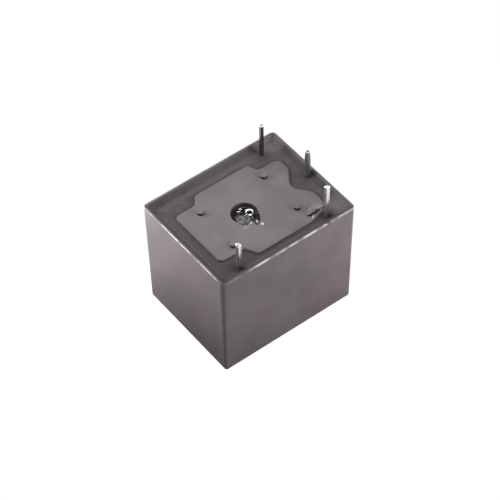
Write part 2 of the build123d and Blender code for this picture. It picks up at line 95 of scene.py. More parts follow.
class Shading:
    """A node tree and short calls that add nodes to it."""

    def __init__(self, tree):
        self.tree = tree
        self.coordinates = self.add("ShaderNodeTexCoord").outputs
        self.place = self.coordinates["Object"]

    def add(self, kind, **settings):
        """Adds a node with its settings."""
        node = self.tree.nodes.new(kind)
        for name, value in settings.items():
            setattr(node, name, value)
        return node

    def feed(self, socket, value):
        """Puts a number, a colour or another node's output into a socket."""
        if isinstance(value, bpy.types.NodeSocket):
            self.tree.links.new(value, socket)
        elif isinstance(value, tuple) and len(value) == 3 and socket.type == "RGBA":
            socket.default_value = (*value, 1)
        else:
            socket.default_value = value

    def math(self, operation, first, second=0.0, third=0.0):
        """A sum on numbers."""
        node = self.add("ShaderNodeMath", operation=operation)
        for socket, value in zip(node.inputs, (first, second, third)):
            self.feed(socket, value)
        return node.outputs[0]

    def times(self, first, *others):
        """The product of several numbers."""
        for other in others:
            first = self.math("MULTIPLY", first, other)
        return first

    def total(self, *parts):
        """The sum of several numbers, each with its weight."""
        first, *others = [self.math("MULTIPLY", value, weight) for value, weight in parts]
        for other in others:
            first = self.math("ADD", first, other)
        return first

    def speckle(self, size, detail=3.0, stretch=(1, 1, 1), roughness=0.55, seed=0.0):
        """Noise with features of about a size in metres, from 0 to 1."""
        mapping = self.add("ShaderNodeMapping")
        self.feed(mapping.inputs["Vector"], self.place)
        mapping.inputs["Scale"].default_value = stretch
        mapping.inputs["Location"].default_value = (seed * 0.01, seed * 0.02, seed * 0.03)
        texture = self.add("ShaderNodeTexNoise")
        self.feed(texture.inputs["Vector"], mapping.outputs[0])
        texture.inputs["Scale"].default_value = 1 / size
        texture.inputs["Detail"].default_value = detail
        texture.inputs["Roughness"].default_value = roughness
        return texture.outputs["Fac"]

    def spread(self, value, low, high, to_low=0.0, to_high=1.0):
        """Stretches low..high to to_low..to_high, smoothly and clamped."""
        node = self.add("ShaderNodeMapRange", interpolation_type="SMOOTHSTEP")
        for socket, number in zip(node.inputs, (value, low, high, to_low, to_high)):
            self.feed(socket, number)
        return node.outputs[0]

    def mix(self, share, first, second):
        """A colour between two."""
        node = self.add("ShaderNodeMix", data_type="RGBA")
        self.feed(node.inputs["Factor"], share)
        self.feed(node.inputs[6], first)
        self.feed(node.inputs[7], second)
        return node.outputs[2]

    def part(self, vector, index):
        """One part of a vector."""
        node = self.add("ShaderNodeSeparateXYZ")
        self.feed(node.inputs[0], vector)
        return node.outputs[index]

    def axis(self, index):
        """One coordinate of the surface point."""
        return self.part(self.place, index)

    def facing(self, index):
        """One part of the surface's direction, in the piece's own axes."""
        return self.part(self.coordinates["Normal"], index)

    def distance(self, x, y):
        """How far the surface point is from a place, seen from above."""
        across = self.math("POWER", self.math("SUBTRACT", self.axis(0), x), 2)
        along = self.math("POWER", self.math("SUBTRACT", self.axis(1), y), 2)
        return self.math("SQRT", self.math("ADD", across, along))

    def beside(self, value, edge, full, none):
        """1 as far as one distance from an edge, falling to 0 at another, in millimetres."""
        gap = self.math("ABSOLUTE", self.math("SUBTRACT", value, edge))
        return self.spread(gap, full * mm, none * mm, 1, 0)


materials = {}


class Look(Shading):
    """A material with one Principled shader, listed under its name."""

    def __init__(self, name):
        material = bpy.data.materials.new(name)
        material.use_nodes = True
        materials[name] = material
        super().__init__(material.node_tree)
        self.shader = self.tree.nodes["Principled BSDF"]

    def bump(self, height, depth):
        """Relief of a depth in metres."""
        node = self.add("ShaderNodeBump")
        self.feed(node.inputs["Strength"], 1.0)
        self.feed(node.inputs["Distance"], depth)
        self.feed(node.inputs["Height"], height)
        self.feed(self.shader.inputs["Normal"], node.outputs[0])

    def set(self, **inputs):
        """Feeds the shader's sockets, named with underscores for spaces."""
        for name, value in inputs.items():
            self.feed(self.shader.inputs[name.replace("_", " ")], value)


def plastic(name, dark, light, rough, grain=0.05 * mm, relief=0.002 * mm, seed=0.0):
    """Moulded plastic: two near colours in soft patches and a fine grain."""
    look = Look(name)
    patches = look.speckle(4 * mm, 2, seed=seed)
    fine = look.speckle(grain, 4, seed=seed + 1)
    share = look.total((patches, 0.75), (fine, 0.25))
    look.bump(fine, relief)
    look.set(
        Base_Color=look.mix(look.spread(share, 0.3, 0.7), dark, light),
        Roughness=look.spread(patches, 0.3, 0.7, *rough),
    )


def metal(name, dark, light, rough, grain, stretch=(1, 1, 1), relief=0.001 * mm, seed=0.0, metallic=1.0):
    """Metal with clouded tarnish and drawn or stamped grain."""
    look = Look(name)
    cloud = look.speckle(1.5 * mm, 3, seed=seed)
    fine = look.speckle(grain, 4, stretch, seed=seed + 2)
    share = look.total((cloud, 0.6), (fine, 0.4))
    look.bump(fine, relief)
    look.set(
        Base_Color=look.mix(look.spread(share, 0.3, 0.7), dark, light),
        Roughness=look.spread(fine, 0.3, 0.7, *rough),
        Metallic=metallic,
    )


def rim_pale_and_highlight(look, x, y, z):
    """Lines along the rim: paler along its far edges, and a painted highlight along the outside of the near
    ones, both broken up in patches.
    """
    rim_patches = look.spread(look.speckle(1.6 * mm, 4, seed=6), 0.36, 0.6, 0.2, 1)
    far = look.math(
        "MAXIMUM",
        look.beside(x, cover_high.x, 0.20, 0.30),
        look.beside(y, cover_high.y, 0.20, 0.30),
    )
    far = look.times(far, look.spread(rim_patches, 0.2, 1, 0.6, 1), look.beside(z, case_height, 0.15, 0.25))
    # Painted highlight: a bright line along the outside of the near left and front rim edges.
    left = look.times(
        look.beside(x, -cover_high.x, 0.11, 0.17),
        look.beside(z, case_height, 0.11, 0.16),
        look.spread(y, -6.9 * mm, -6.1 * mm, 0.15, 1),
        look.spread(y, 0.5 * mm, 5.5 * mm, 1, 0.45),
    )
    front = look.times(
        look.beside(y, -cover_high.y, 0.12, 0.18),
        look.beside(z, case_height, 0.18, 0.24),
        look.spread(x, -6.6 * mm, -4.9 * mm, 0.15, 1),
        look.spread(x, 4.0 * mm, 7.5 * mm, 1, 0.5),
    )
    return far, look.times(look.math("MAXIMUM", left, front), rim_patches)


def case_look():
    """The cover: satin moulded plastic with a dark mark on the rim, paler along the far rim edges, with
    painted shade on the rim's top face and painted highlights on the rounded upright corners and along the
    near rim edges.
    """
    look = Look("case_plastic")
    x, y, z = look.axis(0), look.axis(1), look.axis(2)
    patches = look.speckle(5 * mm, 2, seed=3)
    tint = look.spread(look.speckle(7 * mm, 1, seed=9), 0.4, 0.6)
    fine = look.speckle(0.06 * mm, 4, seed=4)
    dark = look.mix(tint, (0.122, 0.097, 0.102), (0.114, 0.098, 0.100))
    light = look.mix(tint, (0.158, 0.128, 0.135), (0.147, 0.127, 0.130))
    share = look.total((patches, 0.8), (fine, 0.2))
    body = look.mix(look.spread(share, 0.32, 0.68), dark, light)
    # Painted shade: the top face of the rim is darkened.
    rim_top_shade = look.beside(z, case_height, 0.10, 0.14)
    body = look.mix(look.times(rim_top_shade, 0.9), body, (0.092, 0.081, 0.085))
    pale_rim, rim_highlight = rim_pale_and_highlight(look, x, y, z)
    body = look.mix(pale_rim, body, (0.235, 0.238, 0.225))
    # Painted highlight: the rounded upright corners, picked out by their direction, are made paler.
    corner = look.math("ABSOLUTE", look.times(look.facing(0), look.facing(1)))
    body = look.mix(look.spread(corner, 0.10, 0.35, 0, 0.4), body, (0.205, 0.174, 0.182))
    # Painted highlight: the bright line along the near rim edges.
    body = look.mix(rim_highlight, body, (0.60, 0.55, 0.56))
    ragged = look.times(look.speckle(0.5 * mm, 3, seed=8), 0.3 * mm)
    reach = look.math("ADD", look.distance(stain_x * mm, stain_y * mm), ragged)
    stained = look.spread(reach, 0.38 * mm, 0.68 * mm, 0.85, 0)
    stained = look.times(stained, look.beside(z, case_height, 0.20, 0.45))
    look.bump(fine, 0.0015 * mm)
    look.set(
        Base_Color=look.mix(stained, body, (0.048, 0.041, 0.043)),
        Roughness=look.spread(patches, 0.3, 0.7, 0.36, 0.44),
        Specular_IOR_Level=0.2,
    )


def base_look(name="base_plastic", scuff=0.0):
    """The terminal plate: matt grey on its face, with painted shade down its sides that makes them nearly
    black, blackest on the bosses. A scuff streaks the face.
    """
    look = Look(name)
    patches = look.speckle(2.6 * mm, 3, seed=12)
    fine = look.speckle(0.07 * mm, 4, seed=13)
    share = look.total((patches, 0.7), (fine, 0.3))
    face = look.mix(look.spread(share, 0.34, 0.66), (0.157, 0.141, 0.150), (0.201, 0.181, 0.193))
    if scuff:
        streaks = look.speckle(0.20 * mm, 3, (0.5, 1.5, 1), seed=15)
        face = look.mix(look.spread(streaks, 0.50, 0.60, 0, scuff), face, (0.44, 0.41, 0.42))
    # Painted shade: faces that turn away from straight up are darkened, nearly to black on the sides of the
    # bosses.
    side = look.spread(look.facing(2), 0.45, 0.9, 1.0, 0.0)
    on_boss = look.spread(look.axis(2), island_z + 0.01 * mm, island_z + 0.05 * mm)
    side_shade_colour = look.mix(on_boss, (0.070, 0.062, 0.066), (0.010, 0.009, 0.010))
    look.bump(fine, 0.002 * mm)
    look.set(
        Base_Color=look.mix(side, face, side_shade_colour),
        Roughness=look.spread(patches, 0.3, 0.7, 0.5, 0.6),
    )


def potting_look():
    """The potting resin: clouded dark grey, paler in patches, with painted shade round the pin bases, beside
    the island and on its slopes, and painted light and shade across the case, paler far and darker near.
    """
    look = Look("resin")
    clouds = look.speckle(1.4 * mm, 3, seed=30)
    fine = look.speckle(0.06 * mm, 3, seed=31)
    grains = look.speckle(0.22 * mm, 3, seed=34)
    share = look.total((clouds, 0.45), (grains, 0.4), (fine, 0.15))
    body = look.mix(look.spread(share, 0.36, 0.64), (0.085, 0.072, 0.076), (0.144, 0.124, 0.130))
    # Painted shade: resin that slopes up the walls and pins is darkened.
    climbing = look.spread(look.facing(2), 0.8, 0.996, 1.0, 0.0)
    body = look.mix(look.times(climbing, 0.12), body, (0.060, 0.053, 0.055))
    # Painted light and shade: the resin is made paler towards the far side of the case and darker towards the
    # near side.
    across_case = look.total((look.axis(0), 0.45), (look.axis(1), 1))
    body = look.mix(look.spread(across_case, 3.5 * mm, 8 * mm, 0, 0.45), body, (0.175, 0.151, 0.159))
    body = look.mix(look.spread(across_case, -6 * mm, 0, 0.32, 0), body, (0.060, 0.052, 0.055))
    for at_x, at_y in pale_patches:
        reach = look.math("ADD", look.distance(at_x * mm, at_y * mm), look.times(clouds, 1.2 * mm))
        body = look.mix(look.spread(reach, 1.1 * mm, 3.0 * mm, 0.9, 0), body, (0.275, 0.236, 0.252))
    # Painted shade: darker round the pin bases and beside the island.
    pin_shade = look.add("ShaderNodeAttribute", attribute_name="pin_shade").outputs["Fac"]
    island_shade = look.add("ShaderNodeAttribute", attribute_name="island_shade").outputs["Fac"]
    body = look.mix(island_shade, body, (0.052, 0.044, 0.047))
    body = look.mix(pin_shade, body, (0.052, 0.045, 0.048))
    look.bump(look.speckle(0.25 * mm, 2, seed=32), 0.007 * mm)
    dull = look.math("MAXIMUM", climbing, pin_shade)
    rough = look.spread(clouds, 0.3, 0.7, 0.30, 0.42)
    look.set(
        Base_Color=body,
        Roughness=look.math("MAXIMUM", rough, look.times(dull, 0.75)),
        Specular_IOR_Level=look.spread(dull, 0, 1, 0.38, 0.1),
    )


def well_look():
    """The resin in the well: black and wet, with a dull grey mound on its near left side."""
    look = Look("well_resin")
    mottle = look.speckle(0.30 * mm, 4, seed=60)
    flow = look.speckle(0.9 * mm, 2, seed=61)
    ragged = look.times(look.math("SUBTRACT", flow, 0.5), 0.8 * mm)
    reach = look.math("ADD", look.distance(core_x + mound_x * mm, mound_y * mm), ragged)
    mound = look.spread(reach, 0.55 * mm, 1.15 * mm, 1.0, 0.0)
    dull = look.mix(look.spread(mottle, 0.44, 0.58), (0.016, 0.014, 0.015), (0.20, 0.185, 0.19))
    wet = look.mix(look.spread(flow, 0.3, 0.7), (0.006, 0.005, 0.005), (0.016, 0.014, 0.014))
    look.bump(mottle, 0.03 * mm)
    look.set(
        Base_Color=look.mix(mound, wet, dull),
        Roughness=look.math("ADD", look.times(mound, 0.3), 0.1),
    )


def resin_look(name, dark, light, rough, seed):
    """Cast resin: dark, with flow clouds and a few fine specks."""
    look = Look(name)
    clouds = look.speckle(1.2 * mm, 3, seed=seed)
    specks = look.spread(look.speckle(0.05 * mm, 3, seed=seed + 1), 0.66, 0.74)
    body = look.mix(look.spread(clouds, 0.3, 0.7), dark, light)
    look.bump(look.speckle(0.25 * mm, 2, seed=seed + 2), 0.003 * mm)
    look.set(
        Base_Color=look.mix(look.times(specks, 0.5), body, (0.16, 0.15, 0.15)),
        Roughness=look.spread(clouds, 0.3, 0.7, *rough),
    )


def wire_look(name, dark, light, pitch):
    """Enamelled copper wire laid in turns along Z."""
    look = Look(name)
    turn = look.math("SINE", look.times(look.axis(2), 2 * pi / pitch))
    cloud = look.speckle(1 * mm, 3, seed=20)
    share = look.total((turn, 0.25), (cloud, 1))
    look.bump(turn, 0.02 * mm)
    look.set(
        Base_Color=look.mix(look.spread(share, 0.2, 0.8), dark, light),
        Roughness=look.spread(cloud, 0.3, 0.7, 0.22, 0.34),
        Metallic=0.8,
    )


case_look()
base_look()
potting_look()
well_look()
base_look("smear", 0.85)
resin_look("wet_resin", (0.004, 0.004, 0.004), (0.010, 0.009, 0.009), (0.12, 0.24), 33)
resin_look("pale_resin", (0.50, 0.48, 0.49), (0.70, 0.68, 0.69), (0.2, 0.3), 36)
resin_look("scratched_resin", (0.15, 0.14, 0.14), (0.52, 0.49, 0.50), (0.3, 0.4), 39)
plastic("bobbin_plastic", (0.55, 0.53, 0.47), (0.66, 0.64, 0.58), (0.4, 0.5), seed=40)
plastic("tape", (0.60, 0.42, 0.08), (0.72, 0.52, 0.13), (0.25, 0.35), 0.3 * mm, 0.004 * mm, seed=50)
wire_look("copper_wire", (0.52, 0.20, 0.09), (0.80, 0.36, 0.18), 0.14 * mm)
metal("bubble", (0.80, 0.80, 0.79), (0.95, 0.95, 0.94), (0.12, 0.2), 0.1 * mm)
metal("iron", (0.42, 0.41, 0.40), (0.58, 0.57, 0.55), (0.28, 0.42), 0.08 * mm, (1, 1, 0.2))
metal("silver", (0.78, 0.77, 0.74), (0.92, 0.91, 0.88), (0.18, 0.30), 0.1 * mm)
metal("rivet_brass", (0.62, 0.50, 0.26), (0.80, 0.66, 0.36), (0.24, 0.36), 0.1 * mm)
metal("spring_bronze", (0.62, 0.42, 0.24), (0.80, 0.58, 0.36), (0.2, 0.32), 0.08 * mm, (0.2, 1, 1))
metal(
    "tinned_pin", (0.60, 0.60, 0.58), (0.74, 0.74, 0.72), (0.16, 0.24), 0.5 * mm,
    (1, 1, 0.3), relief=0.0, metallic=0.93,
)
# Painted shade: two darker copies of the tin, for the pins that lie in shade.
metal(
    "deep_shaded_tin", (0.10, 0.11, 0.10), (0.19, 0.205, 0.185), (0.34, 0.44), 0.4 * mm,
    (1, 1, 0.4), relief=0.0, seed=5.0, metallic=0.8,
)
metal(
    "shaded_tin", (0.16, 0.17, 0.155), (0.25, 0.26, 0.24), (0.2, 0.28), 0.4 * mm,
    (1, 1, 0.4), relief=0.0,
)


def dress(obj, slot):
    """Gives an object one of the materials."""
    obj.data.materials.clear()
    obj.data.materials.append(materials[slot])


slot_of = {
    "cover": "case_plastic",
    "base": "base_plastic",
    "epoxy_seal": "resin",
    "core_seal": "resin",
    "core": "iron",
    "yoke": "iron",
    "armature": "iron",
    "bobbin": "bobbin_plastic",
    "coil_winding": "copper_wire",
    "lead_a": "copper_wire",
    "lead_b": "copper_wire",
    "coil_tape": "tape",
    "coil_pin_a": "tinned_pin",
    "coil_pin_b": "tinned_pin",
    "terminal_com": "tinned_pin",
    "terminal_no": "tinned_pin",
    "back_stop": "tinned_pin",
    "fixed_contact": "silver",
    "moving_contact": "silver",
    "terminal_rivets": "rivet_brass",
    "spring_rivets": "rivet_brass",
    "armature_rivets": "rivet_brass",
    "contact_spring": "spring_bronze",
}
for name, slot in slot_of.items():
    dress(nodes[name], slot)


# Making pieces


def placed(name, data):
    """A new object in the scene."""
    obj = bpy.data.objects.new(name, data)
    bpy.context.scene.collection.objects.link(obj)
    return obj


def make_piece(name, corners, faces, slot, body, replaced=()):
    """A smooth closed piece from its corners and faces, riding on a body."""
    mesh = bpy.data.meshes.new(name)
    mesh.from_pydata(corners, [], faces)
    bm = bmesh.new()
    bm.from_mesh(mesh)
    bmesh.ops.recalc_face_normals(bm, faces=bm.faces)
    for face in bm.faces:
        face.smooth = True
    bm.to_mesh(mesh)
    bm.free()
    piece = placed(name, mesh)
    dress(piece, slot)
    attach(piece, body)
    if replaced:
        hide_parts(*replaced)
    return piece


def skin(rings, first=0):
    """Faces of a closed skin through equal rings of corners, numbered from first."""
    count = len(rings[0])
    faces = []
    for level in range(len(rings) - 1):
        start = first + level * count
        for step in range(count):
            after = (step + 1) % count
            faces.append((start + step, start + after, start + count + after, start + count + step))
    last = first + (len(rings) - 1) * count
    faces.append(tuple(range(first + count - 1, first - 1, -1)))
    faces.append(tuple(range(last, last + count)))
    return faces


def slab(squares, below):
    """Faces of a closed slab: the squares of its top, their twins numbered from below, and its sides."""
    faces, sides = [], {}
    for square in squares:
        faces.append(square)
        faces.append(tuple(below + corner for corner in reversed(square)))
        for start, end in zip(square, square[1:] + square[:1]):
            if (end, start) in sides:
                del sides[end, start]
            else:
                sides[start, end] = True
    return faces + [(end, start, below + start, below + end) for start, end in sides]


def lofted(name, groups, slot, body, replaced=()):
    """One piece made of several closed skins, each a list of rings."""
    corners, faces = [], []
    for rings in groups:
        faces += skin(rings, len(corners))
        corners += [corner for ring in rings for corner in ring]
    return make_piece(name, corners, faces, slot, body, replaced)


# Resin round the island

ring_pitch = 0.07 * mm
ring_level = seal_low.z + 0.46 * mm
wall_rise = 0.80 * mm
wall_reach = 0.42 * mm
pin_rise = 0.16 * mm
pin_reach = 0.13 * mm
island_sag = 0.03 * mm
island_reach = 0.30 * mm
slow_wave, quick_wave = 1.6 * mm, 0.3 * mm
under_pin = 0.26 * mm
# Painted shade on the resin: how far it reaches and how dark it is round each pin base and beside the island
pin_shade_reach = 0.80 * mm
island_shade_reach = 0.55 * mm
island_shade_strength = 0.75
pin_shade_strength = {"coil_pin_a": 0.5, "coil_pin_b": 1.0, "terminal_com": 0.2, "terminal_no": 1.0}


def ring_height(x, y, to_island, to_pin):
    """The resin's level: it climbs the walls and the pins and sinks beside the island."""
    to_wall = max(min(seal_high.x - abs(x), seal_high.y - abs(y)), 0)
    slow = noise.noise(Vector((x, y, 0)) / slow_wave)
    quick = noise.noise(Vector((x, y, 5 * mm)) / quick_wave)
    height = ring_level + 0.012 * mm * slow + 0.003 * mm * quick
    height += wall_rise * exp(-to_wall / wall_reach) * (1 + 0.12 * slow + 0.05 * quick)
    height += pin_rise * exp(-to_pin / pin_reach)
    return height - island_sag * exp(-to_island / island_reach)


def ring_cells(places, pins):
    """The squares of the grid over the resin and the pins, with one more line of places all round."""
    seal = tree_of("epoxy_seal")
    inside = set()
    for key, (x, y) in places.items():
        probe = Vector((x, y, ring_level))
        in_pin = any(pin.find_nearest(probe)[3] < under_pin for pin in pins)
        if in_pin or height_under(seal, x, y) is not None:
            inside.add(key)
    grown = set(inside)
    for column, row in inside:
        for beside in ((column + 1, row), (column - 1, row), (column, row + 1), (column, row - 1)):
            if beside in places:
                grown.add(beside)
    cells = []
    for column, row in sorted(grown):
        cell = ((column, row), (column + 1, row), (column + 1, row + 1), (column, row + 1))
        if all(key in grown for key in cell):
            cells.append(cell)
    return cells


def make_ring():
    """The potting resin as one closed piece: a wavy top, sides inside its neighbours, a flat bottom."""
    base = tree_of("base")
    pins = [tree_of(node) for node in pin_shade_strength]
    columns = int((seal_high.x - seal_low.x) / ring_pitch) + 3
    rows = int((seal_high.y - seal_low.y) / ring_pitch) + 3
    places = {
        (column, row): (seal_low.x + (column - 1) * ring_pitch, seal_low.y + (row - 1) * ring_pitch)
        for column in range(columns)
        for row in range(rows)
    }
    cells = ring_cells(places, pins)
    used = sorted({key for cell in cells for key in cell})
    number = {key: index for index, key in enumerate(used)}
    corners, pin_shade, island_shade = [], [], []
    for key in used:
        x, y = places[key]
        probe = Vector((x, y, ring_level - 0.05 * mm))
        to_island = base.find_nearest(probe)[3]
        to_pins = [pin.find_nearest(probe)[3] for pin in pins]
        corners.append((x, y, ring_height(x, y, to_island, min(to_pins))))
        # Painted shade, kept on the corners: darker round the pin bases and beside the island.
        shades = zip(to_pins, pin_shade_strength.values())
        pin_shade.append(max(black * exp(-((gap / pin_shade_reach) ** 2)) for gap, black in shades))
        island_shade.append(island_shade_strength * exp(-((to_island / island_shade_reach) ** 2)))
    below = len(corners)
    corners += [(x, y, seal_low.z) for x, y, _ in corners]
    faces = slab([tuple(number[key] for key in cell) for cell in cells], below)
    ring = make_piece("potting_resin", corners, faces, "resin", body_of_case, ("epoxy_seal",))
    for name, values in (("pin_shade", pin_shade), ("island_shade", island_shade)):
        attribute = ring.data.attributes.new(name, "FLOAT", "POINT")
        attribute.data.foreach_set("value", values + [0.0] * below)


make_ring()


# Resin in the well over the core

well_radius = (well_high.x - well_low.x) / 2
well_floor = well_low.z
stake_radius = 1.37 * mm
well_depth = 0.62 * mm
well_tilt = 0.08 * mm
away_x, away_y = 0.6, 0.8
well_lumps = 0.05 * mm
well_climb = 0.10 * mm

# Humps in the well: place, radius and height in millimetres, the first one the mound
well_humps = (
    (mound_x, mound_y, 0.95, 0.58),
    (-1.15, 0.35, 0.45, 0.30),
    (0.75, -1.15, 0.40, 0.35),
)


def bell(x, y, at_x, at_y, radius):
    """A smooth hump of height 1 round a point, with places in millimetres from the core."""
    return exp(-((x / mm - at_x) ** 2 + (y / mm - at_y) ** 2) / radius**2)


def well_height(x, y):
    """The surface of the resin in the well, from the core's centre line."""
    far = (x * away_x + y * away_y) / well_radius
    height = island_z - well_depth - well_tilt * far
    for at_x, at_y, radius, rise in well_humps:
        height += rise * mm * bell(x, y, at_x, at_y, radius)
    lumps = noise.noise(Vector((x, y, 0)) / (0.34 * mm))
    lumps += 0.5 * noise.noise(Vector((x, y, mm)) / (0.16 * mm))
    height += well_lumps * lumps
    edge = (well_radius - hypot(x, y)) / well_climb
    return height + well_climb * exp(-max(edge, 0))


def circle(radius, z, around, at_x=0.0, at_y=0.0):
    """A level ring round a point from the core."""
    ways = [2 * pi * step / around for step in range(around)]
    return [(core_x + at_x + radius * cos(way), at_y + radius * sin(way), z) for way in ways]


def make_well():
    """The resin in the well: a rough dished top over the staked end of the core."""
    around, levels = 144, 44
    rings = []
    for level in range(1, levels + 1):
        ring = circle(well_radius * (level / levels), 0, around)
        rings.append([(x, y, well_height(x - core_x, y)) for x, y, _ in ring])
    core_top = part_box("core")[1].z
    rings.append(circle(well_radius, well_floor, around))
    rings.append(circle(stake_radius, well_floor, around))
    rings.append(circle(stake_radius, core_top, around))
    rings.append(circle(0.2 * mm, core_top + 0.01 * mm, around))
    lofted("well_resin", [rings], "well_resin", body_of_case, ("core_seal",))


def blob(at_x, at_y, z, length, width, height, turn=0.0, seed=0.0, around=28, levels=12):
    """A flattened drop round a point from the core, in millimetres, slightly uneven."""
    rings = []
    for level in range(1, levels):
        angle = pi * level / levels - pi / 2
        ring = []
        for step in range(around):
            way = 2 * pi * step / around
            uneven = 1 + 0.12 * noise.noise(Vector((2 * cos(way), 2 * sin(way), seed)))
            along = length / 2 * cos(angle) * cos(way) * uneven
            across = width / 2 * cos(angle) * sin(way) * uneven
            x = at_x + along * cos(turn) - across * sin(turn)
            y = at_y + along * sin(turn) + across * cos(turn)
            ring.append((core_x + x * mm, y * mm, z + height / 2 * mm * sin(angle)))
        rings.append(ring)
    return rings


def hoop(at_x, at_y, z, radius, thick, start, end, around=16, steps=48):
    """An open hoop round a point from the core, thin at its ends, in millimetres."""
    rings = []
    for step in range(steps + 1):
        share = step / steps
        way = start + (end - start) * share
        swell = thick * (0.35 + 0.65 * sin(pi * share)) * (1 + 0.2 * noise.noise(Vector((5 * share, 0, 3))))
        ring = []
        for turn in range(around):
            angle = 2 * pi * turn / around
            reach = radius + swell / 2 * cos(angle)
            ring.append(
                (
                    core_x + (at_x + reach * cos(way)) * mm,
                    (at_y + reach * sin(way)) * mm,
                    z + swell * 0.4 * mm * sin(angle),
                )
            )
        rings.append(ring)
    return rings


def well_top(at_x, at_y):
    """The resin's height in the well at a place in millimetres from the core."""
    return well_height(at_x * mm, at_y * mm)


def floating(at_x, at_y, lift, *form):
    """A drop with its middle a little above the resin in the well, in millimetres."""
    return blob(at_x, at_y, well_top(at_x, at_y) + lift * mm, *form)


def make_bubbles():
    """Silvery air bubbles at the surface of the resin in the well."""
    drops = [
        floating(0.31, 1.24, 0.02, 0.52, 0.34, 0.26, -0.5, 1),
        floating(0.86, 0.80, 0.01, 0.34, 0.26, 0.18, -0.5, 2),
        floating(-0.10, 1.01, 0.02, 0.62, 0.22, 0.18, -0.65, 3),
    ]
    hoop_x, hoop_radius = 0.74, 0.43
    hoop_z = well_top(hoop_x, -0.02) + 0.16 * mm
    hoops = [
        hoop(hoop_x, 0.0, hoop_z, hoop_radius, 0.42, radians(-25), radians(150)),
        hoop(hoop_x, 0.0, hoop_z, hoop_radius, 0.44, radians(170), radians(320)),
    ]
    lofted("well_bubbles", drops + hoops, "bubble", body_of_case)


# Stations down the dribble from the well: place, width and height in millimetres
dribble_path = (
    (1.12, -0.66, 0.55, 0.25),
    (0.80, -1.12, 0.95, 0.34),
    (0.52, -1.55, 0.98, 0.30),
    (0.30, -1.95, 0.66, 0.22),
    (0.08, -2.28, 0.20, 0.06),
)


def make_dribble():
    """The dark dribble of resin that runs out of the well over the island, and its pale beads."""
    rings, steps, around = [], 28, 20
    for step in range(steps + 1):
        share = step / steps * (len(dribble_path) - 1)
        index = min(int(share), len(dribble_path) - 2)
        before, after = dribble_path[index : index + 2]
        part = share - index
        ease = part * part * (3 - 2 * part)
        weights = (part, part, ease, ease)
        x, y, width, height = [
            first * (1 - weight) + second * weight
            for first, second, weight in zip(before, after, weights)
        ]
        way = atan2(after[1] - before[1], after[0] - before[0]) + pi / 2
        ring = []
        for turn in range(around):
            angle = 2 * pi * turn / around
            across = width / 2 * cos(angle) * (1 + 0.25 * noise.noise(Vector((share * 2, cos(angle), 7))))
            ring.append(
                (
                    core_x + (x + across * cos(way)) * mm,
                    (y + across * sin(way)) * mm,
                    island_z + height * mm * (0.55 * sin(angle) + 0.10),
                )
            )
        rings.append(ring)
    lofted("well_dribble", [rings], "wet_resin", body_of_case)
    beads = [
        blob(0.34, -1.97, island_z + 0.13 * mm, 0.40, 0.26, 0.18, 1.1, 5),
        blob(0.61, -2.54, island_z, 0.42, 0.34, 0.22, 1.3, 6),
        blob(-0.24, -1.62, island_z - 0.01 * mm, 0.46, 0.24, 0.12, 0.2, 8),
    ]
    lofted("well_beads", beads, "pale_resin", body_of_case)


def make_overflow():
    """The dull skin of resin that laps over the well's near left edge."""
    at_x, at_y, rim = -0.72, -0.80, 0.025
    around, levels = 96, 20
    rings = []
    for level in range(1, levels + 1):
        ring = []
        for step in range(around):
            way = 2 * pi * step / around
            reach = 0.84 + 0.22 * noise.noise(Vector((3 * cos(way), 3 * sin(way), 8)))
            reach += 0.22 * noise.noise(Vector((8 * cos(way), 8 * sin(way), 2)))
            share = level / levels
            x, y = at_x + reach * share * cos(way), at_y + reach * share * sin(way)
            lumps = 0.05 * noise.noise(Vector((4.5 * x, 4.5 * y, 6)))
            edge = min(1, 5 * (1 - share))
            ring.append((core_x + x * mm, y * mm, island_z + (rim * edge + lumps * edge - 0.005) * mm))
        rings.append(ring)
    rings.append(circle(0.8 * mm, island_z - 0.12 * mm, around, at_x * mm, at_y * mm))
    lofted("well_overflow", [rings], "well_resin", body_of_case)


make_well()
make_overflow()
make_bubbles()
make_dribble()


# Resin smeared over the island beside coil pin B

smear_start, smear_end = 4.9, 7.25
smear_line = -4.84
smear_width = 0.95
smear_lip = 0.17
smear_depth = 0.05 * mm


def smear_point(share, part):
    """A place on the skin of resin and its height: share runs along it, part across it from its torn lip."""
    x = smear_start + (smear_end - smear_start) * share
    torn = noise.noise(Vector((x * 3.2, 0, 2))) * 0.10 + noise.noise(Vector((x * 9, 1, 2))) * 0.05
    ends = min(1, 6 * share, 6 * (1 - share))
    y = smear_line + torn + smear_width * ends * part + 0.10 * (1 - ends)
    folds = 0.5 + 0.5 * noise.noise(Vector((x * 2.4, y * 9, 4)))
    ripple = 0.55 + 0.7 * noise.noise(Vector((x * 5, 3, 1)))
    lift = smear_lip * ends * exp(-part * 3.2) * ripple + 0.035 * folds * ends
    fade = min(1, 5 * (1 - part)) * min(1, 8 * min(share, 1 - share))
    return x * mm, y * mm, max(lift * fade, -0.01) * mm


def make_smear():
    """A thin skin of resin with a torn, raised lip towards the channel."""
    along, across = 64, 24
    row = across + 1
    points = [smear_point(step / along, side / across) for step in range(along + 1) for side in range(row)]
    corners = [(x, y, island_z + height) for x, y, height in points]
    corners += [(x, y, island_z - smear_depth) for x, y, _ in points]
    starts = [step * row + side for step in range(along) for side in range(across)]
    squares = [(start, start + row, start + row + 1, start + 1) for start in starts]
    make_piece("resin_smear", corners, slab(squares, len(points)), "smear", body_of_case)


